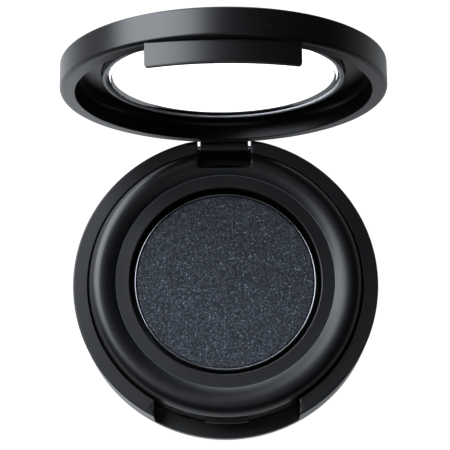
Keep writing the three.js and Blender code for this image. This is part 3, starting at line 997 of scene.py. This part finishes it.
stageLook = {"size": 1.6, "glow": 1.0, "paint": 0.13, "surround": 0.02, "backdrop": 1.0, "windowBoost": 0.9,
             "leftGlow": 1.1, "rightGlow": 0.42, "farShare": 0.25, "drop": 0.00002, "cells": 9,
             "near": 0.05, "far": 0.15, "sideReach": 0.04, "cool": (0.91, 0.95, 1.0, 1)}


def firstLook(tree):
    # 1 where light goes to the camera with no bounce on the way, and 1 where it also passed the window
    path = addNode(tree, "ShaderNodeLightPath")
    bounces = mathNode(tree, "ADD", path.outputs["Glossy Depth"], path.outputs["Diffuse Depth"])
    none = mathNode(tree, "LESS_THAN", bounces, 0.5)
    either = mathNode(tree, "MAXIMUM", path.outputs["Is Camera Ray"], path.outputs["Is Transmission Ray"])
    return mathNode(tree, "MULTIPLY", none, either), path.outputs["Is Transmission Ray"]


def makeFloor():
    # a flat sheet just under the compact. Its glow is soft = fade with distance x fade from left
    # to right, and where the camera looks straight at it, glow + boost through the window
    half, cells = stageLook["size"], stageLook["cells"]
    u, v = np.meshgrid(np.linspace(-half, half, cells), np.linspace(-half, half, cells), indexing="ij")
    points = gridOf(u, v, -stageLook["drop"])
    floor = meshFrom("floor", points, gridFaces(cells, cells, False, False), weld=1e-6)
    material = bpy.data.materials.new("paleFloor")
    material.use_nodes = True
    tree = material.node_tree
    tree.nodes.clear()
    glow = addNode(tree, "ShaderNodeEmission")
    spot = addNode(tree, "ShaderNodeSeparateXYZ")
    place = objectPlace(tree)
    tree.links.new(place, spot.inputs[0])
    reach = addNode(tree, "ShaderNodeVectorMath", operation="LENGTH")
    tree.links.new(place, reach.inputs[0])
    fade = addNode(tree, "ShaderNodeMapRange", interpolation_type="SMOOTHSTEP")
    across = addNode(tree, "ShaderNodeMapRange", interpolation_type="SMOOTHSTEP")
    tree.links.new(reach.outputs["Value"], fade.inputs["Value"])
    tree.links.new(spot.outputs[0], across.inputs["Value"])
    away = (stageLook["near"], stageLook["far"], 1.0, stageLook["farShare"])
    sides = (-stageLook["sideReach"], stageLook["sideReach"], stageLook["leftGlow"], stageLook["rightGlow"])
    for node, values in ((fade, away), (across, sides)):
        for socket, value in zip(node.inputs[1:5], values):
            socket.default_value = value
    soft = mathNode(tree, "MULTIPLY", fade.outputs[0], across.outputs[0])
    seen, through = firstLook(tree)
    straight = mathNode(tree, "MULTIPLY_ADD", through, stageLook["windowBoost"], stageLook["glow"])
    part = mathNode(tree, "MULTIPLY", mathNode(tree, "SUBTRACT", straight, soft), seen)
    tree.links.new(mathNode(tree, "ADD", soft, part), glow.inputs["Strength"])
    tree.links.new(mixColour(tree, seen, stageLook["cool"], (1, 1, 1, 1)), glow.inputs["Color"])
    paint = addNode(tree, "ShaderNodeBsdfDiffuse")
    paint.inputs["Color"].default_value = (stageLook["paint"],) * 3 + (1,)
    both = addNode(tree, "ShaderNodeAddShader")
    output = addNode(tree, "ShaderNodeOutputMaterial")
    tree.links.new(glow.outputs[0], both.inputs[0])
    tree.links.new(paint.outputs[0], both.inputs[1])
    tree.links.new(both.outputs[0], output.inputs["Surface"])
    floor.data.materials.append(material)


def makeWorld():
    # a dark room for reflections, and a pale one where the camera looks straight at it
    world = bpy.data.worlds.new("studio")
    world.use_nodes = True
    tree = world.node_tree
    tree.nodes.clear()
    room = addNode(tree, "ShaderNodeBackground")
    room.inputs["Color"].default_value = (0.9, 0.95, 1.0, 1)
    room.inputs["Strength"].default_value = stageLook["surround"]
    pale = addNode(tree, "ShaderNodeBackground")
    pale.inputs["Color"].default_value = (1, 1, 1, 1)
    pale.inputs["Strength"].default_value = stageLook["backdrop"]
    seen = firstLook(tree)[0]
    mix = addNode(tree, "ShaderNodeMixShader")
    output = addNode(tree, "ShaderNodeOutputWorld")
    tree.links.new(seen, mix.inputs[0])
    tree.links.new(room.outputs[0], mix.inputs[1])
    tree.links.new(pale.outputs[0], mix.inputs[2])
    tree.links.new(mix.outputs[0], output.inputs["Surface"])
    bpy.context.scene.world = world


def addSoftbox(name, towards, distance, width, height, power, colour):
    # a rectangle of light at a distance along a direction, facing the compact
    aim = Vector((0, 0.008, 0.015))
    direction = Vector(towards).normalized()
    data = bpy.data.lights.new(name, "AREA")
    data.shape = "RECTANGLE"
    data.size = width
    data.size_y = height
    data.energy = power
    data.color = colour
    light = placed(name, data)
    light.location = aim + direction * distance
    light.rotation_euler = direction.to_track_quat("Z", "Y").to_euler()


lightPlan = {
    "key": {"towards": (-0.73, 0.40, 0.76), "distance": 0.62, "width": 0.44, "height": 0.60, "power": 7.0,
            "colour": (0.88, 0.93, 1.0)},
    "fill": {"towards": (0.0, -0.35, 0.94), "distance": 0.62, "width": 0.50, "height": 0.36, "power": 0.22,
             "colour": (0.86, 0.92, 1.0)},
    "back": {"towards": (-0.30, 0.92, 0.22), "distance": 0.62, "width": 0.75, "height": 0.20, "power": 3.0,
             "colour": (0.88, 0.93, 1.0)},
}


def placeCamera():
    # back = (sin a cos e, -cos a cos e, sin e) runs from the target to the camera, and the roll
    # turns right and up about it
    view = {"elevation": 73.51, "azimuth": 0.08, "roll": -0.672, "distance": 0.2073,
            "target": (0, 0.008547, 0.0068), "lens": 112.5}
    e, a, roll = (math.radians(view[key]) for key in ("elevation", "azimuth", "roll"))
    back = Vector((math.sin(a) * math.cos(e), -math.cos(a) * math.cos(e), math.sin(e)))
    right = (-back).cross(Vector((0, 0, 1))).normalized()
    up = right.cross(-back)
    tiltedRight = math.cos(roll) * right + math.sin(roll) * up
    tiltedUp = -math.sin(roll) * right + math.cos(roll) * up
    turn = Matrix((tiltedRight, tiltedUp, back)).transposed()
    data = bpy.data.cameras.new("camera")
    data.lens = view["lens"]
    data.sensor_width = 36
    data.clip_start = 0.005
    data.clip_end = 10
    camera = placed("camera", data)
    camera.matrix_world = Matrix.Translation(Vector(view["target"]) + back * view["distance"]) @ turn.to_4x4()
    bpy.context.scene.camera = camera


makeFloor()
makeWorld()
for name, plan in lightPlan.items():
    addSoftbox(name, **plan)
placeCamera()
bpy.context.scene.view_settings.view_transform = "Standard"
print("stage ready")
